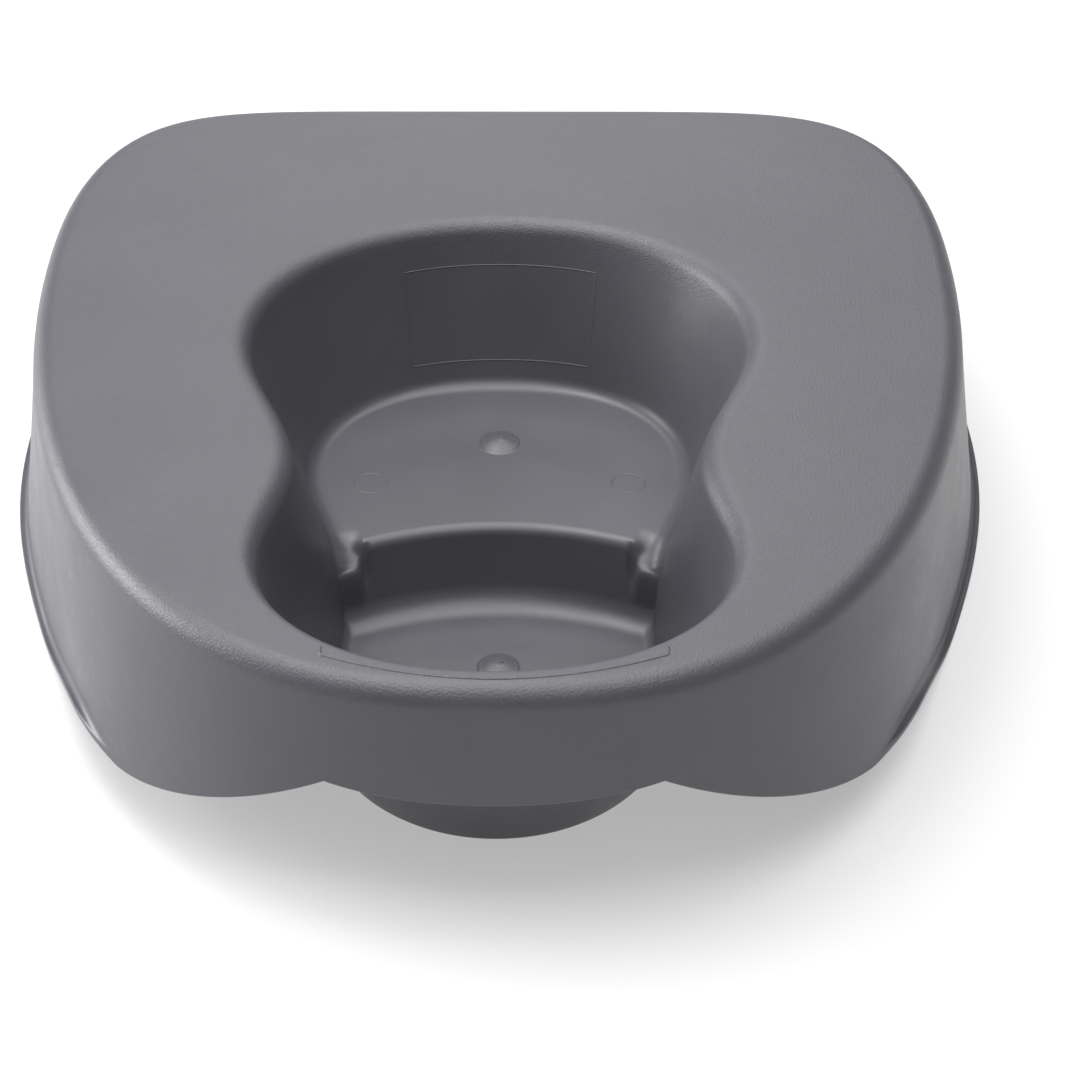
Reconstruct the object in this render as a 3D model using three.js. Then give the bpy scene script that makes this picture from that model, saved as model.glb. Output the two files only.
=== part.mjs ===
// Hospital bedpan: a thin open-bottomed shell with a wide seat deck, an hourglass opening,
// a stepped bowl (rear shelf, front well) and a flared skirt. The shell is one moulding; it is
// built here as the named sections of that moulding, each closed and a hair clear of its neighbours.
import * as THREE from 'three';

// Millimetres. Origin: middle of the footprint on the floor. +Y is the wide seat end, +X the right.
const deckHeight = 83;
const thickness = 2.5;
const gap = 0.3;
const half = gap / 2;
// Half a seam between neighbours: degrees at the deck edge, stations along the bowl outlines.
const seam = 0.06;
const notch = 0.004;

// Outer edge of the seat deck, where the rolled edge turns into the skirt.
// The powers shape each half: across the pan, then along it.
const deckOutline = {
  halfWidth: 154.4, yWide: 58.4, yFront: -174.3, yRear: 162.2, frontPowers: [2.5, 2], rearPowers: [6.6, 2.33],
};
const edgeRoll = 7.3;

// Hourglass outlines of the bowl: at its throat, at shelf level and on the floor of the well.
const throat = {
  front: -162.3, frontHalf: 68, frontY: -109.7, waistHalf: 61, waistY: -65,
  rearHalf: 79, rearY: 3.6, rear: 72.3, frontPower: 2.15, rearPower: 2.1,
};
const shelfLevel = {
  front: -150, frontHalf: 57.8, frontY: -97.6, waistHalf: 53, waistY: -48,
  rearHalf: 63, rearY: -2.6, rear: 52.1, frontPower: 2.1, rearPower: 2.3,
};
const wellLevel = {
  front: -142.5, frontHalf: 51.5, frontY: -88, waistHalf: 49.5, waistY: -54,
  rearHalf: 52, rearY: -15, rear: 20, frontPower: 2, rearPower: 2.3,
};
const shelfHeight = 29;
const wellFloorHeight = 2.5;
const throatRollRear = 7.5;
const throatRollFront = 3.2;

// Step between the shelf and the well: arcs across the bowl, a steep face and a wide hollow foot.
const lipY = -26.2;
const lipRadius = 104.5;
const lipRoll = 3.5;
const lipHalf = 52.2;
const stepDraft = 3.4;
const footRadius = 11;
const stepTopHalf = 53;
const stepFootHalf = 49;

// Lower edge of the skirt, by angle round the pan from the front.
const frontHem = 46.5;
const cuspHem = 49.9;
const cuspAngle = 20.2;
const sideHem = 16.8;
const lobeEndAngle = 52.8;
const lobePower = 1.36;
const hemFallAngle = 60;
const hemFloorAngle = 90;
const flares = [[0, 9], [50, 9], [80, 4], [125, 10.2], [180, 10.5]];

// Foot flange along the skirt's lower edge.
const flangeWidth = 2.2;
const flangeHeight = 2;
const flangeStart = 50;
const flangeTaper = 14;

// Gate domes on the shelf and in the well.
const domeRadius = 6.75;
const domeHeight = 1.9;
const domes = [
  { name: 'shelf_gate_dome', y: 17.8, z: shelfHeight },
  { name: 'well_gate_dome', y: -69.2, z: wellFloorHeight },
];

// Rays for the deck and skirt start here, inside the waist of the opening.
const hub = { x: 0, y: -45 };
const aroundSteps = 960;
const rayStep = 3;

const rad = THREE.MathUtils.degToRad;
const lerp = THREE.MathUtils.lerp;
const clamp = THREE.MathUtils.clamp;
const ease = (t) => (1 - Math.cos(Math.PI * t)) / 2;

// Quarter of a superellipse from the centre line (t = 0) out to the widest point (t = 1).
function quarter(halfWidth, reach, power, t, powerAlong = power) {
  const a = (t * Math.PI) / 2;
  return [halfWidth * Math.sin(a) ** (2 / power), reach * Math.cos(a) ** (2 / powerAlong)];
}

// Right half of an hourglass outline at station s: 0 front, 1 front lobe, 2 waist, 3 rear lobe, 4 rear.
function hourglassHalf(o, s) {
  if (s <= 1) {
    const [x, reach] = quarter(o.frontHalf, o.frontY - o.front, o.frontPower, s);
    return [x, o.frontY - reach];
  }
  if (s <= 2) return [lerp(o.frontHalf, o.waistHalf, ease(s - 1)), lerp(o.frontY, o.waistY, s - 1)];
  if (s <= 3) return [lerp(o.waistHalf, o.rearHalf, ease(s - 2)), lerp(o.waistY, o.rearY, s - 2)];
  const [x, reach] = quarter(o.rearHalf, o.rear - o.rearY, o.rearPower, 4 - s);
  return [x, o.rearY + reach];
}

// Full hourglass: s runs 0..4 up the right side and on to 8 down the left side.
function hourglass(o, s) {
  const turn = ((s % 8) + 8) % 8;
  const [x, y] = hourglassHalf(o, turn <= 4 ? turn : 8 - turn);
  return turn <= 4 ? [x, y] : [-x, y];
}

function deckEdge(o, s) {
  const side = s <= 2 ? 1 : -1;
  const t = s <= 2 ? s : 4 - s;
  const front = t <= 1;
  const reach = front ? o.yWide - o.yFront : o.yRear - o.yWide;
  const [across, along] = front ? o.frontPowers : o.rearPowers;
  const [x, d] = quarter(o.halfWidth, reach, across, front ? t : 2 - t, along);
  return [side * x, front ? o.yWide - d : o.yWide + d];
}

// Closed outline as points with outward normals.
function trace(pointAt, span, count) {
  const points = Array.from({ length: count }, (_, i) => pointAt((span * i) / count));
  return points.map(([x, y], i) => {
    const a = points[(i + count - 1) % count];
    const b = points[(i + 1) % count];
    const length = Math.hypot(b[0] - a[0], b[1] - a[1]);
    return { x, y, nx: (b[1] - a[1]) / length, ny: -(b[0] - a[0]) / length };
  });
}

// Point of a traced outline, pushed outward, in the direction given in degrees from the front.
function onRay(outline, push, degrees) {
  const direction = rad(degrees);
  const ux = Math.sin(direction);
  const uy = -Math.cos(direction);
  for (let i = 0; i < outline.length; i += 1) {
    const p = outline[i];
    const q = outline[(i + 1) % outline.length];
    const ax = p.x + p.nx * push - hub.x;
    const ay = p.y + p.ny * push - hub.y;
    const bx = q.x + q.nx * push - hub.x;
    const by = q.y + q.ny * push - hub.y;
    const ca = ux * ay - uy * ax;
    const cb = ux * by - uy * bx;
    if (ca <= 0 && cb > 0 && ux * ax + uy * ay > 0) {
      const t = ca / (ca - cb);
      return [hub.x + lerp(ax, bx, t), hub.y + lerp(ay, by, t)];
    }
  }
  throw new Error(`no outline at ${degrees} degrees`);
}

const deckTrace = trace((s) => deckEdge(deckOutline, s), 4, aroundSteps);
const throatTrace = trace((s) => hourglass(throat, s), 8, aroundSteps);

// The opening's rolled edge tightens toward the narrow front rim.
function throatRoll(y) {
  return lerp(throatRollFront, throatRollRear, ease(clamp((y + 150) / 70, 0, 1)));
}

function fold(degrees) {
  const turn = ((degrees % 360) + 360) % 360;
  return turn > 180 ? 360 - turn : turn;
}

function hemHeight(degrees) {
  const a = fold(degrees);
  if (a < cuspAngle) return lerp(frontHem, cuspHem, (a / cuspAngle) ** 2);
  if (a < lobeEndAngle) {
    const t = (a - cuspAngle) / (lobeEndAngle - cuspAngle);
    return sideHem + (cuspHem - sideHem) * (1 - t) ** lobePower;
  }
  return sideHem * (1 - ease(clamp((a - hemFallAngle) / (hemFloorAngle - hemFallAngle), 0, 1)));
}

function flare(degrees) {
  const a = fold(degrees);
  const i = Math.max(1, flares.findIndex(([limit]) => a <= limit));
  const [a0, f0] = flares[i - 1];
  const [a1, f1] = flares[i];
  return rad(lerp(f0, f1, ease((a - a0) / (a1 - a0))));
}

// Horizontal reach of the skirt beyond the deck outline at a given height.
function skirtReach(degrees, z) {
  return (deckHeight - edgeRoll - z) * Math.tan(flare(degrees));
}

// Closed solid between an upper and a lower grid of points: rows[i] = { top: [...], under: [...] }.
function shell(rows) {
  const n = rows[0].top.length;
  const positions = rows.flatMap((row) => [...row.top, ...row.under]).flat();
  const top = (i, j) => i * 2 * n + j;
  const under = (i, j) => i * 2 * n + n + j;
  const index = [];
  const quad = (a, b, c, d) => index.push(a, b, c, a, c, d);
  const last = rows.length - 1;
  for (let i = 0; i < last; i += 1) {
    for (let j = 0; j < n - 1; j += 1) {
      quad(top(i, j), top(i + 1, j), top(i + 1, j + 1), top(i, j + 1));
      quad(under(i, j), under(i, j + 1), under(i + 1, j + 1), under(i + 1, j));
    }
    quad(top(i, 0), under(i, 0), under(i + 1, 0), top(i + 1, 0));
    quad(top(i, n - 1), top(i + 1, n - 1), under(i + 1, n - 1), under(i, n - 1));
  }
  for (let j = 0; j < n - 1; j += 1) {
    quad(top(0, j), top(0, j + 1), under(0, j + 1), under(0, j));
    quad(top(last, j), under(last, j), under(last, j + 1), top(last, j + 1));
  }
  const geometry = new THREE.BufferGeometry();
  geometry.setAttribute('position', new THREE.Float32BufferAttribute(positions, 3));
  geometry.setIndex(index);
  return outward(geometry);
}

// Turns the faces of a closed solid outward if they came out reversed.
function outward(geometry) {
  const p = geometry.attributes.position;
  const index = geometry.index.array;
  const [a, b, c] = [new THREE.Vector3(), new THREE.Vector3(), new THREE.Vector3()];
  let volume = 0;
  for (let i = 0; i < index.length; i += 3) {
    a.fromBufferAttribute(p, index[i]);
    b.fromBufferAttribute(p, index[i + 1]);
    c.fromBufferAttribute(p, index[i + 2]);
    volume += a.dot(b.cross(c));
  }
  if (volume < 0) geometry.setIndex(Array.from(index).reverse());
  geometry.computeVertexNormals();
  return geometry;
}

// Flat plate with a traced border.
function plate(border, bottom, height) {
  const shape = new THREE.Shape(border.map(([x, y]) => new THREE.Vector2(x, y)));
  const geometry = new THREE.ExtrudeGeometry(shape, { depth: height, bevelEnabled: false });
  return geometry.translate(0, 0, bottom);
}

function steps(from, to, count) {
  return Array.from({ length: count + 1 }, (_, i) => lerp(from, to, i / count));
}

// Shared rays between two seam angles, so that neighbours meet facet to facet.
function rays(from, to) {
  const inside = steps(from, to, Math.round((to - from) / rayStep)).slice(1, -1);
  return [from + seam, ...inside, to - seam];
}

// Seat deck between the two rolled edges, over a range of angles.
function deckSection(from, to) {
  return shell(rays(from, to).map((a) => {
    const roll = throatRoll(onRay(throatTrace, 0, a)[1]);
    const inner = onRay(throatTrace, roll + half, a);
    const outer = onRay(deckTrace, -edgeRoll - half, a);
    const line = (z) => [0, 0.5, 1].map((t) => [lerp(inner[0], outer[0], t), lerp(inner[1], outer[1], t), z]);
    return { top: line(deckHeight), under: line(deckHeight - thickness) };
  }));
}

// Skirt with its rolled top edge, over a range of angles.
function skirtSection(from, to) {
  const bends = [half, 22, 45, 68, 81];
  return shell(rays(from, to).map((a) => {
    const hem = hemHeight(a);
    const arc = (radius) => bends.map((bend) => {
      const off = bend === half ? half - edgeRoll : radius * Math.sin(rad(bend)) - edgeRoll;
      const rise = bend === half ? radius : radius * Math.cos(rad(bend));
      return [...onRay(deckTrace, off, a), deckHeight - edgeRoll + rise];
    });
    const fall = (inset) => [0.5, 1].map((t) => {
      const z = lerp(deckHeight - edgeRoll, hem, t);
      return [...onRay(deckTrace, skirtReach(a, z) - inset, a), z];
    });
    return {
      top: [...arc(edgeRoll), ...fall(0)],
      under: [...arc(edgeRoll - thickness), ...fall(thickness)],
    };
  }));
}

// Foot flange: a narrow strip outside the skirt's lower edge, fading out toward the front.
function flangeSection(from, to) {
  return shell(rays(from, to).map((a) => {
    const hem = hemHeight(a);
    const fade = clamp((fold(a) - flangeStart) / flangeTaper, 0.2, 1);
    const base = skirtReach(a, hem) + gap;
    const edge = (z) => [0, flangeWidth * fade].map((w) => [...onRay(deckTrace, base + w, a), z]);
    return { top: edge(hem + flangeHeight), under: edge(hem) };
  }));
}

// Bowl wall from its rolled top edge down, over a range of stations.
function bowlWall(from, to, count, levels) {
  const bends = [0, 22.5, 45, 67.5, 90];
  const point = (outline, s, push, z) => {
    const e = 1e-3;
    const [x, y] = hourglass(outline, s);
    const [ax, ay] = hourglass(outline, s - e);
    const [bx, by] = hourglass(outline, s + e);
    const length = Math.hypot(bx - ax, by - ay);
    return [x + ((by - ay) / length) * push, y - ((bx - ax) / length) * push, z];
  };
  return shell(steps(from, to, count).map((s) => {
    const roll = throatRoll(hourglass(throat, s)[1]);
    const arc = (radius) => bends.map((bend) => {
      const off = roll - half - radius * Math.sin(rad(bend)) + (half * bend) / 90;
      return point(throat, s, off, deckHeight - roll + radius * Math.cos(rad(bend)));
    });
    const fall = (push) => levels.map(([outline, z]) => point(outline, s, push, z));
    return { top: [...arc(roll), ...fall(0)], under: [...arc(roll - thickness), ...fall(thickness)] };
  }));
}

const arcY = (y, radius, x) => y - (x * x) / (2 * radius);

// Rolled lip along the front of the shelf.
function lipSection() {
  return shell(steps(-lipHalf, lipHalf, 20).map((x) => {
    const y = arcY(lipY, lipRadius, x);
    const arc = (radius) => [0, 22.5, 45, 67.5, 90].map((bend) => [
      x,
      y - radius * Math.sin(rad(bend)),
      shelfHeight - lipRoll + radius * Math.cos(rad(bend)),
    ]);
    return { top: arc(lipRoll), under: arc(lipRoll - thickness) };
  }));
}

// Front face of the step as [y on the centre line, height], from under the lip to the well floor.
const faceTop = [lipY - lipRoll, shelfHeight - lipRoll - gap];
const faceFoot = [faceTop[0] - stepDraft, wellFloorHeight + footRadius];
const footCurve = [22.5, 45, 67.5, 90].map((bend) => [
  faceFoot[0] - footRadius * (1 - Math.cos(rad(bend))),
  faceFoot[1] - footRadius * Math.sin(rad(bend)),
]);
const stepFaceLine = [faceTop, faceFoot, ...footCurve];

// The same line moved a distance square to itself, behind and under the face.
function offsetLine(line, distance) {
  return line.map(([y, z], i) => {
    const [ay, az] = line[Math.max(i - 1, 0)];
    const [by, bz] = line[Math.min(i + 1, line.length - 1)];
    const length = Math.hypot(by - ay, bz - az);
    return [y - ((bz - az) / length) * distance, z + ((by - ay) / length) * distance];
  });
}

// Point of a face line at s, which runs -1..1 across the bowl.
function stepPoint([y, z], s) {
  const x = s * lerp(stepFootHalf, stepTopHalf, clamp(z / shelfHeight, 0, 1));
  return [x, arcY(y, lipRadius, x), z];
}

function stepSection() {
  const under = offsetLine(stepFaceLine, thickness);
  under[under.length - 1][1] = 0;
  return shell(steps(-1, 1, 20).map((s) => ({
    top: stepFaceLine.map((point) => stepPoint(point, s)),
    under: under.map((point) => stepPoint(point, s)),
  })));
}

// Short sloped ledge in each front corner under the lip, standing off the step's face.
function ledgeSection(side) {
  const inner = 44 / stepTopHalf;
  const faceY = (z) => lerp(faceFoot[0], faceTop[0], (z - faceFoot[1]) / (faceTop[1] - faceFoot[1]));
  const outline = [[24.6, 1.2], [22.4, 3], [17, 0.8]];
  return shell(steps(side * inner, side * 0.985, 4).map((s) => ({
    top: outline.map(([z, depth]) => stepPoint([faceY(z) - gap - depth, z], s)),
    under: outline.map(([z]) => stepPoint([faceY(z) - gap, z], s)),
  })));
}

function shelfBorder() {
  const inset = 0.75;
  const rear = steps(2.3, 5.7, 44).map((s) => {
    const [x, y] = hourglass(shelfLevel, s);
    const [cx, cy] = [0, -5];
    const length = Math.hypot(x - cx, y - cy);
    return [x - ((x - cx) / length) * inset, y - ((y - cy) / length) * inset];
  });
  const end = rear[0];
  const front = steps(-end[0] + 1.5, end[0] - 1.5, 24).map((x) => [x, arcY(lipY + gap, lipRadius, x)]);
  return [...rear, ...front];
}

function wellBorder() {
  const inset = 0.45;
  const front = steps(-1.93, 1.93, 48).map((s) => {
    const [x, y] = hourglass(wellLevel, s);
    const length = Math.hypot(x, y + 88);
    return [x - (x / length) * inset, y - ((y + 88) / length) * inset];
  });
  const end = front[front.length - 1];
  const footY = stepFaceLine[stepFaceLine.length - 1][0] - 2 * gap;
  const foot = steps(end[0] - 0.6, 0.6 - end[0], 20).map((x) => [x, arcY(footY, lipRadius, x)]);
  return [...front, ...foot];
}

function dome() {
  const profile = [new THREE.Vector2(0, 0)];
  const sphere = (domeRadius ** 2 + domeHeight ** 2) / (2 * domeHeight);
  const spread = Math.asin(domeRadius / sphere);
  steps(spread, 0.14, 6).forEach((a) => {
    profile.push(new THREE.Vector2(sphere * Math.sin(a), sphere * Math.cos(a) - sphere + domeHeight));
  });
  profile.push(new THREE.Vector2(1.2, domeHeight + 0.6), new THREE.Vector2(0, domeHeight + 0.7));
  profile.push(new THREE.Vector2(0, 0));
  return new THREE.LatheGeometry(profile, 24).rotateX(Math.PI / 2);
}

const graphite = 0x55575c;
const model = new THREE.Group();

function add(name, geometry) {
  const mesh = new THREE.Mesh(geometry, new THREE.MeshStandardMaterial({ color: graphite, roughness: 0.55 }));
  mesh.name = name;
  model.add(mesh);
  return mesh;
}

const deckSections = [
  ['seat_deck_front_rim', -60, 60],
  ['seat_deck_right', 60, 129],
  ['seat_deck_rear', 129, 231],
  ['seat_deck_left', 231, 300],
];
deckSections.forEach(([name, from, to]) => add(name, deckSection(from, to)));

const skirtSections = [
  ['skirt_front', -21, 21],
  ['skirt_front_right_lobe', 21, 54],
  ['skirt_right', 54, 117],
  ['skirt_rear_right_corner', 117, 153],
  ['skirt_rear', 153, 207],
  ['skirt_rear_left_corner', 207, 243],
  ['skirt_left', 243, 306],
  ['skirt_front_left_lobe', 306, 339],
];
skirtSections.forEach(([name, from, to]) => add(name, skirtSection(from, to)));

const flangeSections = [
  ['foot_flange_right', 54, 129],
  ['foot_flange_rear', 129, 231],
  ['foot_flange_left', 231, 306],
];
flangeSections.forEach(([name, from, to]) => add(name, flangeSection(from, to)));

const toWell = [[shelfLevel, shelfHeight], [wellLevel, 0]];
const toShelf = [[shelfLevel, shelfHeight], [shelfLevel, shelfHeight - thickness]];
const shelfEnd = 2.22;
add('bowl_front_wall', bowlWall(-0.9 + notch, 0.9 - notch, 28, toWell));
add('bowl_right_wall', bowlWall(0.9 + notch, shelfEnd - notch, 16, toWell));
add('bowl_rear_wall', bowlWall(shelfEnd + notch, 8 - shelfEnd - notch, 44, toShelf));
add('bowl_left_wall', bowlWall(8 - shelfEnd + notch, 7.1 - notch, 16, toWell));

add('rear_shelf', plate(shelfBorder(), shelfHeight - thickness, thickness));
add('shelf_lip', lipSection());
add('step_wall', stepSection());
add('corner_ledge_right', ledgeSection(1));
add('corner_ledge_left', ledgeSection(-1));
add('well_floor', plate(wellBorder(), 0, wellFloorHeight));

domes.forEach(({ name, y, z }) => add(name, dome().translate(0, y, z + gap)));

export default model;
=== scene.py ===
"""Bedpan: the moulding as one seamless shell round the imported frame, its gate domes and witness lines."""
import math
import bmesh
import bpy
import numpy as np
from mathutils import Euler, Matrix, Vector


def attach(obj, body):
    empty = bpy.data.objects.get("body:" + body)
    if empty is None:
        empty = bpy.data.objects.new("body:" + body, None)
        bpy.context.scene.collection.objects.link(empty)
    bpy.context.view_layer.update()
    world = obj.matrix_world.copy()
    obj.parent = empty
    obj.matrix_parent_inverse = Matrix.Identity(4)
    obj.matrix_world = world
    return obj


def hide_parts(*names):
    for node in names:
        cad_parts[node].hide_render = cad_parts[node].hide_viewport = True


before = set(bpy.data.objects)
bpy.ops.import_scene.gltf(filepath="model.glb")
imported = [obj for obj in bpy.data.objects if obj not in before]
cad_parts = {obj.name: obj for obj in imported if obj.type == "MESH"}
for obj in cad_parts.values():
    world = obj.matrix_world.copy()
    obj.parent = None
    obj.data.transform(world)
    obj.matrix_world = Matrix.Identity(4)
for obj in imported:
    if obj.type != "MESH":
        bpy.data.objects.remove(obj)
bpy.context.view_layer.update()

# Millimetres; the meshes are scaled to metres when they are made.
MM = 0.001
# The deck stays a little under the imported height, so that the crest of the rim's witness line reaches it.
DECK = 82.72
THICK = 2.5
EDGE_ROLL = 7.3
SHELF_Z = 29.0
WELL_Z = 2.5

THROAT = dict(front=-162.3, front_half=68, front_y=-109.7, waist_half=61, waist_y=-65,
              rear_half=79, rear_y=3.6, rear=72.3, front_power=2.15, rear_power=2.1)
SHELF = dict(front=-150, front_half=57.8, front_y=-97.6, waist_half=53, waist_y=-48,
             rear_half=63, rear_y=-2.6, rear=52.1, front_power=2.1, rear_power=2.3)
WELL = dict(front=-142.5, front_half=51.5, front_y=-88, waist_half=49.5, waist_y=-54,
            rear_half=52, rear_y=-15, rear=20, front_power=2, rear_power=2.3)
DECK_EDGE = dict(half=154.4, y_wide=58.4, y_front=-174.3, y_rear=162.2,
                 front_powers=(2.5, 2), rear_powers=(6.6, 2.33))
HUB_Y = -45.0

# The shelf's lip is an arc across the bowl. Adding x^2 * ARC to y turns that arc into a straight line,
# and the lines of the mesh run along it.
ARC = 1 / (2 * 104.5)
FAN_FRONT = -92.0
FAN_REAR = 0.0
LIP_CORNER = (-29.45, SHELF_Z)
FOOT_CORNER = (-37.0, WELL_Z)
LIP_RADIUS = 4.2
FOOT_RADIUS = 10.0

# Lines of the mesh on the right half, from the middle of the front to the middle of the rear.
FRONT_LINES = 80
SIDE_LINES = 130
REAR_LINES = 150
LINES = FRONT_LINES + SIDE_LINES + REAR_LINES

# Shares of the side lines along the shelf, lip, step face and foot; the well takes the rest.
SHELF_LINES = 22
LIP_LINES = 20
FACE_LINES = 10
FOOT_LINES = 26
WELL_LINES = SIDE_LINES - SHELF_LINES - LIP_LINES - FACE_LINES - FOOT_LINES

# Corner ledges: where they start and end in sheared y, and how far from the centre line they begin.
LEDGE_SIDE = 43.2
LEDGE_MIDDLE = -31.0
LEDGE_NOSE = -35.4


def ease(t):
    return (1 - np.cos(np.pi * np.clip(t, 0, 1))) / 2


def lerp(a, b, t):
    return a + (b - a) * t


def unit(v):
    return v / np.linalg.norm(v, axis=-1, keepdims=True)


def quarter(half, reach, power, t, along=None):
    a = np.clip(t, 0, 1) * np.pi / 2
    return half * np.abs(np.sin(a)) ** (2 / power), reach * np.abs(np.cos(a)) ** (2 / (along or power))


def hourglass(o, count=6000):
    """Right half of an hourglass outline, front to rear, as points in plan."""
    s = np.linspace(0, 4, count)
    fx, fr = quarter(o["front_half"], o["front_y"] - o["front"], o["front_power"], s)
    rx, rr = quarter(o["rear_half"], o["rear"] - o["rear_y"], o["rear_power"], 4 - s)
    x = np.select([s <= 1, s <= 2, s <= 3], [
        fx,
        lerp(o["front_half"], o["waist_half"], ease(s - 1)),
        lerp(o["waist_half"], o["rear_half"], ease(s - 2)),
    ], rx)
    y = np.select([s <= 1, s <= 2, s <= 3], [
        o["front_y"] - fr,
        lerp(o["front_y"], o["waist_y"], s - 1),
        lerp(o["waist_y"], o["rear_y"], s - 2),
    ], o["rear_y"] + rr)
    return np.stack([x, y], 1)


def deck_edge(o, count=20000):
    t = np.linspace(0, 2, count)
    across, along = o["front_powers"]
    fx, fr = quarter(o["half"], o["y_wide"] - o["y_front"], across, t, along)
    across, along = o["rear_powers"]
    rx, rr = quarter(o["half"], o["y_rear"] - o["y_wide"], across, 2 - t, along)
    front = t <= 1
    return np.stack([np.where(front, fx, rx), np.where(front, o["y_wide"] - fr, o["y_wide"] + rr)], 1)


def normals(points):
    """Outward normals of a right-half outline, square to the centre line at both ends."""
    ahead = np.roll(points, -1, 0)
    behind = np.roll(points, 1, 0)
    ahead[-1] = points[-2] * (-1, 1)
    behind[0] = points[1] * (-1, 1)
    d = ahead - behind
    return unit(np.stack([d[:, 1], -d[:, 0]], 1))


def pushed(points, push):
    return points + normals(points) * push


def corner(p0, p1, p2, count):
    """Arc that leaves p0 and reaches p2, both tangent to their lines through p1."""
    a, b = unit(p1 - p0), unit(p2 - p1)
    weight = np.sqrt((1 + np.sum(a * b, -1, keepdims=True)) / 2)
    t = np.linspace(0, 1, count)[:, None, None]
    top = (1 - t) ** 2 * p0 + 2 * weight * t * (1 - t) * p1 + t ** 2 * p2
    return list(top / ((1 - t) ** 2 + 2 * weight * t * (1 - t) + t ** 2))


def round_corner(before, at, after, radius, count):
    """Rounded corner of a polyline of arrays shaped (n, dimensions)."""
    a, b = unit(before - at), unit(after - at)
    half_turn = (np.pi - np.arccos(np.clip(np.sum(a * b, -1, keepdims=True), -1, 1))) / 2
    reach = radius * np.tan(half_turn)
    return corner(at + a * reach, at, at + b * reach, count)


# Bowl -----------------------------------------------------------------------------------------

def step_profile():
    """Shelf, lip, step and well floor as (sheared y, height), from the rear to the front."""
    point = lambda y, z: np.array([[y, z]], float)
    lip = round_corner(point(0, SHELF_Z), point(*LIP_CORNER), point(*FOOT_CORNER), LIP_RADIUS,
                       LIP_LINES)
    foot = round_corner(point(*LIP_CORNER), point(*FOOT_CORNER), point(-90, WELL_Z), FOOT_RADIUS,
                        FOOT_LINES)
    lip, foot = np.vstack(lip), np.vstack(foot)
    shelf = lerp(np.array([FAN_REAR, SHELF_Z]), lip[0], np.linspace(0, 1, SHELF_LINES + 1)[:-1, None])
    face = lerp(lip[-1], foot[0], np.linspace(0, 1, FACE_LINES + 2)[1:-1, None])
    well_end = np.array([FAN_FRONT, WELL_Z])
    well = lerp(foot[-1], well_end, np.linspace(0, 1, WELL_LINES + 1)[1:, None])
    return np.vstack([shelf, lip, face, foot, well])


profile = step_profile()
slope = unit(np.gradient(profile, axis=0))
under_profile = profile + THICK * np.stack([-slope[:, 1], slope[:, 0]], 1)
under_profile[0, 0] = FAN_REAR
under_profile[-1, 0] = FAN_FRONT


class Curtain:
    """Lines of the mesh seen from above: a fan at the front, lines along the lip, a fan at the rear."""

    def __init__(self, side_y):
        front = np.linspace(-np.pi / 2, 0, FRONT_LINES + 1)[:-1]
        rear = np.linspace(0, np.pi / 2, REAR_LINES + 2)[1:]
        self.front, self.rear, self.side_y = front, rear, side_y
        self.angle = np.concatenate([front, np.zeros(len(side_y)), rear])
        self.start = np.concatenate([
            np.full(len(front), FAN_FRONT), side_y, np.full(len(rear), FAN_REAR)])

    def reach(self, outline):
        """Distance along each line to a right-half outline."""
        x, y = outline[:, 0], outline[:, 1] + outline[:, 0] ** 2 * ARC
        ahead = np.arctan2(y - FAN_FRONT, x)
        keep = ahead <= 0.2
        front = np.interp(self.front, ahead[keep], np.hypot(x, y - FAN_FRONT)[keep])
        rising = np.maximum.accumulate(y)
        side = np.interp(self.side_y, rising, x)
        behind = np.arctan2(y - FAN_REAR, x)
        keep = behind >= -0.2
        rear = np.interp(self.rear, behind[keep], np.hypot(x, y - FAN_REAR)[keep])
        return np.concatenate([front, side, rear])

    def at(self, rho, z):
        """Points at a distance along the lines, at height z."""
        x = rho * np.cos(self.angle)
        y = self.start + rho * np.sin(self.angle) - x ** 2 * ARC
        return np.stack([x, y, np.broadcast_to(z, x.shape)], 1)


class Wall:
    """Smooth bowl wall through its throat, shelf level and well outlines, at a push outward."""

    def __init__(self, side_y, push):
        self.lines = Curtain(side_y)
        throat = hourglass(THROAT)
        self.top = self.lines.reach(pushed(throat, push))
        self.mid = self.lines.reach(pushed(hourglass(SHELF), push))
        self.low = self.lines.reach(pushed(hourglass(WELL), push))
        where = self.lines.at(self.lines.reach(throat), 0)
        self.roll = lerp(3.2, 7.5, ease((where[:, 1] + 150) / 70))
        self.z = DECK - self.roll
        upper = (self.top - self.mid) / (self.z - SHELF_Z)
        lower = (self.mid - self.low) / SHELF_Z
        shelf = ease((self.lines.start + 45) / 25)
        self.upper, self.lower = upper, lower
        self.bend = lerp((upper + lower) / 2, upper, shelf)
        edge = normals(throat)
        along = self.lines.reach(throat)
        at = self.lines.at(along, 0)[:, :2]
        near = np.array([np.argmin(np.sum((throat - p) ** 2, 1)) for p in at])
        self.out = np.concatenate([edge[near], np.zeros((len(at), 1))], 1)

    def rho(self, z):
        z = np.broadcast_to(z, self.z.shape)
        high = z >= SHELF_Z
        base = np.where(high, SHELF_Z, 0)
        span = np.where(high, self.z - SHELF_Z, SHELF_Z)
        t = (z - base) / span
        p0, p1 = np.where(high, self.mid, self.low), np.where(high, self.top, self.mid)
        m0, m1 = np.where(high, self.bend, self.lower) * span, np.where(high, self.upper, self.bend) * span
        tt = np.clip(t, 0, 1)
        h = ((2 * tt ** 3 - 3 * tt ** 2 + 1) * p0 + (tt ** 3 - 2 * tt ** 2 + tt) * m0
             + (3 * tt ** 2 - 2 * tt ** 3) * p1 + (tt ** 3 - tt ** 2) * m1)
        return h + np.maximum(t - 1, 0) * m1 + np.minimum(t, 0) * m0

    def point(self, z):
        return self.lines.at(self.rho(z), z)


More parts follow.
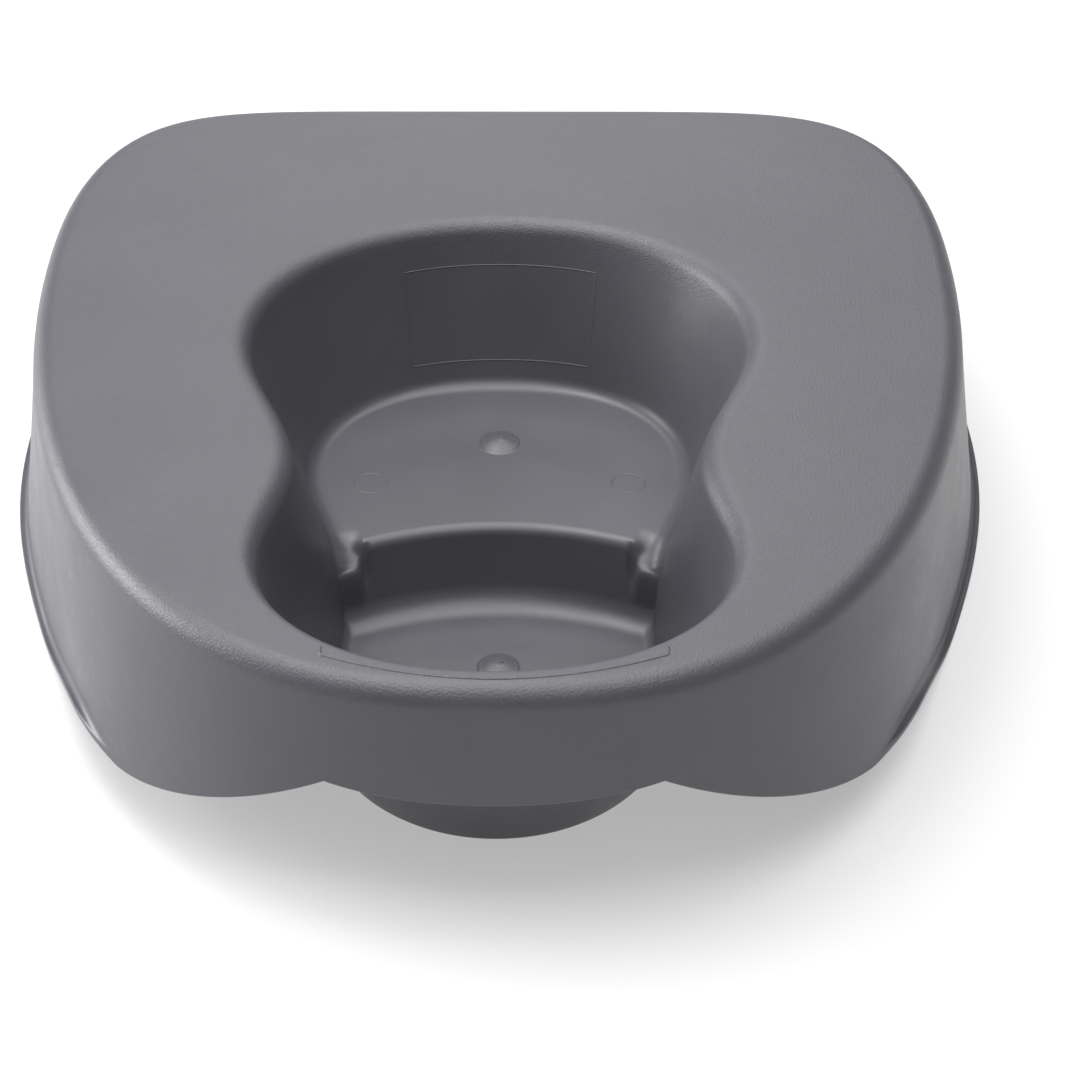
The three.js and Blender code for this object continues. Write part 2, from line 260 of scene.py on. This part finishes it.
def ledge_height(y):
    """Sloped ledge in the two front corners of the shelf, by sheared y."""
    along = [LEDGE_NOSE, -34.9, -34.4, -33.6, LEDGE_MIDDLE, -23.5, -21.5, -19.5]
    return np.interp(y, along, [8.0, 15.0, 20.4, 21.8, 23.3, 27.9, 28.75, SHELF_Z])


def bump(v, middle, half):
    return ease(1 - np.abs(v - middle) / half)


def ledge_blend(lines, x):
    """0 on the lip and 1 on the corner ledge, softer toward the rear."""
    width = lerp(2.2, 7.0, ease((lines.start - LEDGE_MIDDLE) / 7))
    return ease((x - LEDGE_SIDE) / width)


def inner_floor(lines, base, rho):
    """Floor height along the lines, with the corner ledges and the pockets beside the lip's ends."""
    x = rho * np.cos(lines.angle)
    y = lines.start
    slope = ledge_height(y)
    lower = np.where(y > LEDGE_NOSE, np.maximum(base, slope), base)
    ledge = np.where(y > LEDGE_MIDDLE - 0.5, slope, lower)
    z = lerp(base, ledge, ledge_blend(lines, x))
    pocket = 4.0 * bump(x, LEDGE_SIDE, 2.2) * bump(y, LEDGE_MIDDLE - 0.2, 3.4)
    return np.where(lines.angle == 0, z - pocket, base)


def under_floor(lines, base, rho):
    """Height of the floor's underside, dipping below the corner ledges."""
    x = rho * np.cos(lines.angle)
    dip = np.minimum(base, ledge_height(lines.start) - 2.2)
    return np.where(lines.angle == 0, lerp(base, dip, ledge_blend(lines, x)), base)


def bowl_rings(wall, base, floor, fillet, roll_cut, deck_z, corner_count, wall_count):
    """Rings from the centre line out to the deck: floor, fillet, wall and rolled throat."""
    lines = wall.lines
    edge = floor(lines, base, np.full(LINES + 1, 52.0))
    corner_at = wall.point(edge)
    up = unit(wall.point(edge + 4) - corner_at)
    inward = unit(lines.at(wall.rho(edge) - 4, edge) - corner_at)
    turn = np.arccos(np.clip(np.sum(-up * inward, 1), -1, 1))
    reach = fillet * np.tan(turn / 2)
    top_z = edge + reach * up[:, 2]
    start_rho = wall.rho(edge) - reach
    rings = []
    border = 12
    coarse = [(start_rho - border) * t / 9 for t in range(9)]
    fine = [start_rho - d for d in np.linspace(border, 0, 20)]
    for rho in coarse + fine:
        rings.append(lines.at(rho, floor(lines, base, rho)))
    rings += corner(rings[-1], corner_at, wall.point(top_z), 9)[1:]
    throat = wall.point(np.full(LINES + 1, deck_z))
    down = unit(wall.point(np.full(LINES + 1, deck_z - 6)) - throat)
    radius = np.maximum(wall.roll - roll_cut, 0.8)
    turn = np.arccos(np.clip(np.sum(-down * wall.out, 1), -1, 1))
    reach = radius * np.tan(turn / 2)
    high_z = deck_z + reach * down[:, 2]
    for t in np.linspace(0, 1, wall_count)[1:]:
        rings.append(wall.point(lerp(top_z, high_z, t)))
    rings += corner(rings[-1], throat, throat + wall.out * reach[:, None], corner_count)[1:]
    return rings


# Deck, skirt and foot flange --------------------------------------------------------------------

FRONT_HEM = 46.5
CUSP_HEM = 49.9
CUSP_ANGLE = 20.2
SIDE_HEM = 16.8
LOBE_END = 52.8

# One line of the mesh runs down each cusp of the hem.
CUSP_LINE = 40
ANGLES = np.concatenate([np.linspace(0, CUSP_ANGLE, CUSP_LINE + 1),
                         np.linspace(CUSP_ANGLE, 180, LINES - CUSP_LINE + 1)[1:]])


def hem_height(a):
    front = lerp(FRONT_HEM, CUSP_HEM, (a / CUSP_ANGLE) ** 2)
    fall = np.clip((a - CUSP_ANGLE) / (LOBE_END - CUSP_ANGLE), 0, 1)
    lobe = SIDE_HEM + (CUSP_HEM - SIDE_HEM) * (1 - fall) ** 1.36
    side = SIDE_HEM * (1 - ease((a - 60) / 30))
    return np.select([a < CUSP_ANGLE, a < LOBE_END], [front, lobe], side)


def flare_angle(a):
    limits, values = [0, 50, 80, 125, 180], [9, 9, 4, 10.2, 10.5]
    i = np.clip(np.searchsorted(limits, a), 1, 4)
    lo, hi = np.array(limits)[i - 1], np.array(limits)[i]
    return np.radians(lerp(np.array(values)[i - 1], np.array(values)[i], ease((a - lo) / (hi - lo))))


def deck_line():
    """Deck outline and its outward normal along each ray from the hub."""
    edge = deck_edge(DECK_EDGE)
    out = normals(edge)
    a = np.degrees(np.arctan2(edge[:, 0], HUB_Y - edge[:, 1]))

    def pick(v):
        return np.stack([np.interp(ANGLES, a, v[:, 0]), np.interp(ANGLES, a, v[:, 1])], 1)

    return pick(edge), unit(pick(out))


edge_at, edge_out = deck_line()
hem = hem_height(ANGLES)
lean = np.tan(flare_angle(ANGLES))
Z0 = DECK - EDGE_ROLL


def outer(push, z):
    z = np.broadcast_to(z, push.shape)
    return np.concatenate([edge_at + edge_out * push[:, None], z[:, None]], 1)


def skirt(z, inset=0.0):
    return outer((Z0 - z) * lean - inset, z)


def skirt_corner(deck_z, radius, inset, count):
    at = skirt(np.full(LINES + 1, deck_z), inset)
    down = unit(skirt(np.full(LINES + 1, deck_z - 10), inset) - at)
    inward = np.concatenate([-edge_out, np.zeros((LINES + 1, 1))], 1)
    turn = np.arccos(np.clip(np.sum(-down * inward, 1), -1, 1))[:, None]
    reach = radius * np.tan(turn / 2)
    return corner(at + inward * reach, at, at + down * reach, count)


def hem_rings():
    """Lower edge: rounded at the front, a flange with a hollow fillet round the sides and rear."""
    foot = (Z0 - hem) * lean
    wide, high, soft = 2.4, 2.0, 0.45
    tilt = lambda z: -z * lean
    line = lambda z: skirt(hem + z)
    flat = lambda u, z: outer(foot + u, hem + z)
    flange = corner(line(high + 2.4), line(high), flat(tilt(high) + 2.0, high), 6)
    flange += corner(flat(wide - soft, high), flat(wide, high), flat(wide, high - soft), 4)
    flange += corner(flat(wide, soft), flat(wide, 0.0), flat(wide - soft, 0.0), 4)
    plain = [line(z) for z in np.linspace(high + 2.4, 0.75, 10)]
    plain += corner(line(0.6), line(0.0), flat(-0.6, 0.0), 4)
    fade = ease((ANGLES - 50) / 16)[:, None]
    rings = [lerp(p, f, fade) for p, f in zip(plain, flange)]
    inner = corner(flat(-THICK + 0.6, 0.0), flat(-THICK, 0.0), skirt(hem + 0.6, THICK), 4)
    return rings + inner


def between(a, b, count):
    return [lerp(a, b, t) for t in np.linspace(0, 1, count + 2)[1:-1]]


def by_stretch(front, side, rear):
    """One value per line: one number over each fan, and an array along the sides between them."""
    return np.concatenate([np.full(FRONT_LINES, front), side, np.full(REAR_LINES + 1, rear)])


def shell_rings():
    side_y, side_z = profile[::-1, 0], profile[::-1, 1]
    inner_wall = Wall(side_y, 0)
    base = by_stretch(WELL_Z, side_z, SHELF_Z)
    steep = np.abs(np.gradient(side_z, side_y))
    on_face = ease(steep / 1.2) * ease((-32 - side_y) / 2)
    side_fillet = lerp(np.interp(side_y, [-34, -30], [4.0, 6.0]), 1.2, on_face)
    fillet = by_stretch(5.0, side_fillet, 6.0)
    rings = bowl_rings(inner_wall, base, inner_floor, fillet, 0, DECK, 11, 22)
    roll = skirt_corner(DECK, EDGE_ROLL, 0, 13)
    rings += between(rings[-1], roll[0], 6)
    rings += roll
    lower = hem_rings()
    rings += between(rings[-1], lower[0], 9)
    rings += lower
    under_roll = skirt_corner(DECK - THICK, EDGE_ROLL - THICK, THICK, 7)[::-1]
    rings += between(rings[-1], under_roll[0], 7)
    rings += under_roll
    outer_wall = Wall(under_profile[::-1, 0], THICK)
    under_base = by_stretch(0.0, under_profile[::-1, 1], SHELF_Z - THICK)
    under_fillet = np.full(LINES + 1, 3.0)
    under = bowl_rings(outer_wall, under_base, under_floor, under_fillet, THICK, DECK - THICK, 7, 14)[::-1]
    rings += between(rings[-1], under[0], 4)
    return rings + under


def mirrored(ring):
    left = ring[-2:0:-1] * (-1, 1, 1)
    return np.vstack([ring, left])


def make_piece(name, vertices, faces):
    mesh = bpy.data.meshes.new(name)
    mesh.from_pydata((np.asarray(vertices) * MM).tolist(), [], faces)
    build = bmesh.new()
    build.from_mesh(mesh)
    bmesh.ops.remove_doubles(build, verts=build.verts, dist=2e-6)
    bmesh.ops.recalc_face_normals(build, faces=build.faces)
    build.to_mesh(mesh)
    build.free()
    mesh.polygons.foreach_set("use_smooth", [True] * len(mesh.polygons))
    piece = bpy.data.objects.new(name, mesh)
    bpy.context.scene.collection.objects.link(piece)
    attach(piece, "root")
    return piece


def lofted(name, rings, cap=False):
    """Mesh through closed rings of equal length, with fans over the two ends if asked."""
    n = len(rings[0])
    vertices = np.vstack(rings)
    i = np.arange(n)
    j = (i + 1) % n
    faces = np.concatenate([
        np.stack([k * n + i, k * n + j, (k + 1) * n + j, (k + 1) * n + i], 1) for k in range(len(rings) - 1)
    ]).tolist()
    if cap:
        faces += [list(range(n))[::-1], [(len(rings) - 1) * n + v for v in range(n)]]
    return make_piece(name, vertices, faces)


shell = lofted("bedpan_shell", [mirrored(r) for r in shell_rings()])
DOMES = {"shelf_gate_dome": (17.8, SHELF_Z), "well_gate_dome": (-69.2, WELL_Z)}
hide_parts(*[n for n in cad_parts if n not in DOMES])


DOME_RISE = 1.9
DOME_EDGE = 5.6
DOME_CURVE = 6.9
DOME_FOOT = 7.6


def gate_dome(name, y, z):
    """Low dome with a soft foot, and the broken stub of the gate beside its middle."""
    r = np.concatenate([np.linspace(0.05, DOME_EDGE, 22), np.linspace(DOME_EDGE + 0.2, DOME_FOOT, 10)])
    crown = DOME_RISE * (1 - (r / DOME_CURVE) ** 2)
    edge_rise = DOME_RISE * (1 - (DOME_EDGE / DOME_CURVE) ** 2)
    foot = edge_rise * (1 - ease((r - DOME_EDGE) / 2.0)) ** 1.3
    height = np.where(r < DOME_EDGE, crown, foot) - 0.04
    turn = np.linspace(0, 2 * np.pi, 73)[:-1]
    rings = []
    for radius, lift in zip(r, height):
        x, dy = radius * np.cos(turn), radius * np.sin(turn)
        stub = np.hypot(x - 0.9, dy - 0.6)
        nib = 0.75 * np.clip(1.25 - stub / 0.75, 0, 1) + 0.12 * np.exp(-((stub - 1.5) / 0.4) ** 2)
        rings.append(np.stack([x, y + dy, z + lift + nib], 1))
    base = np.stack([DOME_FOOT * np.cos(turn), y + DOME_FOOT * np.sin(turn), np.full(72, z - 0.6)], 1)
    piece = lofted(name.replace("dome", "boss"), rings + [base], cap=True)
    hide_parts(name)
    return piece


bosses = [gate_dome(name, y, z) for name, (y, z) in DOMES.items()]


# Witness lines of the mould ---------------------------------------------------------------------

def bead(name, path, out, radius, rise, closed=False):
    """Round thread half sunk in a surface along a path; out is the surface's outward normal there."""
    path = np.asarray(path, float)
    ends = np.vstack([path[-2], path, path[1]]) if closed else np.vstack([path[0], path, path[-1]])
    ahead = unit(ends[2:] - ends[:-2])
    up = unit(out - np.sum(out * ahead, 1, keepdims=True) * ahead)
    beside = np.cross(ahead, up)
    centre = path + up * (rise - radius)
    turn = np.linspace(0, 2 * np.pi, 13)[:-1, None]
    rings = [c + radius * (np.cos(turn) * u + np.sin(turn) * b) for c, u, b in zip(centre, up, beside)]
    return lofted(name, rings, cap=not closed)


def rim_path():
    """Line round the narrow front rim: an arc across it, turned back at both ends."""
    x = np.linspace(0, 45.6, 60)
    turn = np.linspace(0, np.pi / 2, 9)[1:]
    arc = np.stack([x, -167.4 + 0.0045 * x ** 2], 1)
    end = arc[-1] + np.stack([1.5 * np.sin(turn), 1.5 * (1 - np.cos(turn))], 1)
    back = np.stack([np.full(5, end[-1, 0]), np.linspace(end[-1, 1], -154, 6)[1:]], 1)
    right = np.vstack([arc, end, back])
    line = np.vstack([right[:0:-1] * (-1, 1), right])
    return np.column_stack([line, np.full(len(line), DECK)])


def insert_path():
    """Outline of the rectangular insert on the rear wall, a little wider at its top."""
    low, high = 37.8, 68.5
    up = np.linspace(low, high, 30)
    reach = 31 + (up - low) * 0.075
    across = np.linspace(-1, 1, 50)[1:-1]
    top = np.stack([-across * reach[-1], np.full(48, high)], 1)
    bottom = np.stack([across * reach[0], np.full(48, low)], 1)
    right = np.stack([reach, up], 1)
    left = np.stack([-reach, up], 1)[::-1]
    outline = np.vstack([right, top, left, bottom, right[:1]])
    wall = Wall(profile[::-1, 0], 0)

    def wall_y(x, z):
        ring = wall.point(np.full(LINES + 1, z))[-100:][::-1]
        return np.interp(abs(x), ring[:, 0], ring[:, 1])

    return np.array([(x, wall_y(x, z), z) for x, z in outline])


def pin_path(x, y, radius):
    turn = np.linspace(0, 2 * np.pi, 49)
    return np.stack([x + radius * np.cos(turn), y + radius * np.sin(turn), np.full(49, SHELF_Z)], 1)


UP = np.array([[0.0, 0.0, 1.0]])
INTO_BOWL = np.array([[0.0, -0.92, 0.39]])
beads = [
    bead("rim_witness_line", rim_path(), UP, 0.48, 0.27),
    bead("rear_wall_witness_line", insert_path(), INTO_BOWL, 0.35, 0.11, closed=True),
    bead("shelf_pin_mark_right", pin_path(43, -5.3, 5.5), UP, 0.4, 0.17, closed=True),
    bead("shelf_pin_mark_left", pin_path(-43, -5.3, 5.5), UP, 0.4, 0.11, closed=True),
]


# Plastic ----------------------------------------------------------------------------------------

DARK = (0.069, 0.070, 0.081)
LIGHT = (0.083, 0.084, 0.096)
ROUGH = 0.40
GRAIN = 0.2
SWELL = 0.05


def graphite():
    """Satin moulded plastic: grain on the deck and its rolls, smoother walls, faint handling marks."""
    mat = bpy.data.materials.new("graphite_plastic")
    mat.use_nodes = True
    nodes, links = mat.node_tree.nodes, mat.node_tree.links
    shader = nodes["Principled BSDF"]
    shader.inputs["Specular IOR Level"].default_value = 0.6
    coords = nodes.new("ShaderNodeTexCoord").outputs["Object"]

    def noise(scale, detail, rough=0.5, source=coords):
        n = nodes.new("ShaderNodeTexNoise")
        n.inputs["Scale"].default_value = scale
        n.inputs["Detail"].default_value = detail
        n.inputs["Roughness"].default_value = rough
        links.new(source, n.inputs["Vector"])
        return n.outputs["Fac"]

    def spread(value, low, high, to_low, to_high):
        n = nodes.new("ShaderNodeMapRange")
        for key, number in zip(("From Min", "From Max", "To Min", "To Max"), (low, high, to_low, to_high)):
            n.inputs[key].default_value = number
        links.new(value, n.inputs["Value"])
        return n.outputs["Result"]

    def maths(operation, *values):
        n = nodes.new("ShaderNodeMath")
        n.operation = operation
        for socket, value in zip(n.inputs, values):
            if isinstance(value, float):
                socket.default_value = value
            else:
                links.new(value, socket)
        return n.outputs["Value"]

    split = nodes.new("ShaderNodeSeparateXYZ")
    links.new(coords, split.inputs["Vector"])
    height = split.outputs["Z"]

    # Colour: slow flow streaks and a fine fleck round one graphite grey.
    mix = nodes.new("ShaderNodeMix")
    mix.data_type = "RGBA"
    mix.inputs["A"].default_value = (*DARK, 1)
    mix.inputs["B"].default_value = (*LIGHT, 1)
    flow = spread(noise(22, 4), 0.3, 0.7, 0.2, 0.7)
    fleck = spread(noise(900, 2), 0.35, 0.65, -0.12, 0.12)
    links.new(maths("ADD", flow, fleck), mix.inputs["Factor"])
    links.new(mix.outputs["Result"], shader.inputs["Base Color"])

    # Roughness: mottled, with a few finer rubbed streaks where it is handled.
    stretch = nodes.new("ShaderNodeMapping")
    stretch.inputs["Scale"].default_value = (1, 9, 4)
    stretch.inputs["Rotation"].default_value = (0.2, 0.1, 0.5)
    links.new(coords, stretch.inputs["Vector"])
    rubbed = spread(noise(60, 5, 0.6, stretch.outputs["Vector"]), 0.55, 0.8, 0, 0.1)
    mottle = spread(noise(45, 4), 0.3, 0.7, ROUGH - 0.03, ROUGH + 0.04)
    links.new(maths("SUBTRACT", mottle, rubbed), shader.inputs["Roughness"])

    # Grain, strongest on the deck and its rolled edges.
    grain = noise(1500, 3, 0.6)
    swell = noise(170, 2)
    on_deck = spread(height, 0.07, 0.079, 0.08, 1)
    relief = maths("MULTIPLY", grain, on_deck)
    fine = nodes.new("ShaderNodeBump")
    fine.inputs["Strength"].default_value = 1
    fine.inputs["Distance"].default_value = GRAIN * MM
    links.new(relief, fine.inputs["Height"])
    broad = nodes.new("ShaderNodeBump")
    broad.inputs["Strength"].default_value = 1
    broad.inputs["Distance"].default_value = SWELL * MM
    links.new(swell, broad.inputs["Height"])
    links.new(broad.outputs["Normal"], fine.inputs["Normal"])
    links.new(fine.outputs["Normal"], shader.inputs["Normal"])
    return mat


plastic = graphite()
for piece in [shell, *bosses, *beads]:
    piece.data.materials.append(plastic)


# Room -------------------------------------------------------------------------------------------

def floor_material():
    mat = bpy.data.materials.new("studio_floor")
    mat.use_nodes = True
    nodes, links = mat.node_tree.nodes, mat.node_tree.links
    shader = nodes["Principled BSDF"]
    shader.inputs["Roughness"].default_value = 0.9
    shader.inputs["Specular IOR Level"].default_value = 0.1
    shader.inputs["Emission Color"].default_value = (1, 1, 1, 1)
    shader.inputs["Emission Strength"].default_value = 0.42
    noise = nodes.new("ShaderNodeTexNoise")
    noise.inputs["Scale"].default_value = 3
    mix = nodes.new("ShaderNodeMix")
    mix.data_type = "RGBA"
    mix.inputs["A"].default_value = (0.44, 0.44, 0.443, 1)
    mix.inputs["B"].default_value = (0.46, 0.46, 0.46, 1)
    links.new(noise.outputs["Fac"], mix.inputs["Factor"])
    links.new(mix.outputs["Result"], shader.inputs["Base Color"])
    return mat


def make_floor():
    mesh = bpy.data.meshes.new("studio_floor")
    size, drop = 4.0, -0.0002
    mesh.from_pydata([(-size, -size, drop), (size, -size, drop), (size, size, drop), (-size, size, drop)],
                     [], [(0, 1, 2, 3)])
    mesh.materials.append(floor_material())
    floor = bpy.data.objects.new("studio_floor", mesh)
    bpy.context.scene.collection.objects.link(floor)


def area_light(name, at, aim, size, power):
    data = bpy.data.lights.new(name, "AREA")
    data.energy = power
    data.size = size
    light = bpy.data.objects.new(name, data)
    light.location = at
    light.rotation_euler = (Vector(aim) - Vector(at)).to_track_quat("-Z", "Y").to_euler()
    bpy.context.scene.collection.objects.link(light)


make_floor()
# A wide ceiling panel does most of the work; a panel on the left gives the bright side, a small key
# just behind and left of overhead crisps the shadow, and weak panels behind and in front lift the rims.
area_light("ceiling", (0, 0.3, 1.9), (0, 0.1, 0), 2.4, 61)
area_light("left_panel", (-1.5, 0.3, 0.55), (0, 0, 0.04), 0.9, 30)
area_light("key", (-0.37, 0.17, 1.45), (0, 0, 0.05), 0.4, 4.5)
area_light("back_panel", (0, 1.8, 0.8), (0, 0, 0.04), 1.2, 6)
area_light("front_panel", (0.1, -1.0, 1.6), (0, 0, 0.04), 0.9, 5)

world = bpy.data.worlds.new("studio")
world.use_nodes = True
world.node_tree.nodes["Background"].inputs["Color"].default_value = (0.97, 0.98, 1.0, 1)
world.node_tree.nodes["Background"].inputs["Strength"].default_value = 0.03
bpy.context.scene.world = world
bpy.context.scene.view_settings.view_transform = "Standard"

camera_data = bpy.data.cameras.new("camera")
camera_data.lens = 80.75
camera_data.sensor_width = 36
camera = bpy.data.objects.new("camera", camera_data)
camera.location = (0.00746, -0.6526, 0.5011)
turned = Euler((math.radians(90 - 37.35), 0, math.radians(-0.4))).to_matrix()
camera.rotation_euler = (turned @ Euler((0, 0, math.radians(0.25))).to_matrix()).to_euler()
bpy.context.scene.collection.objects.link(camera)
bpy.context.scene.camera = camera
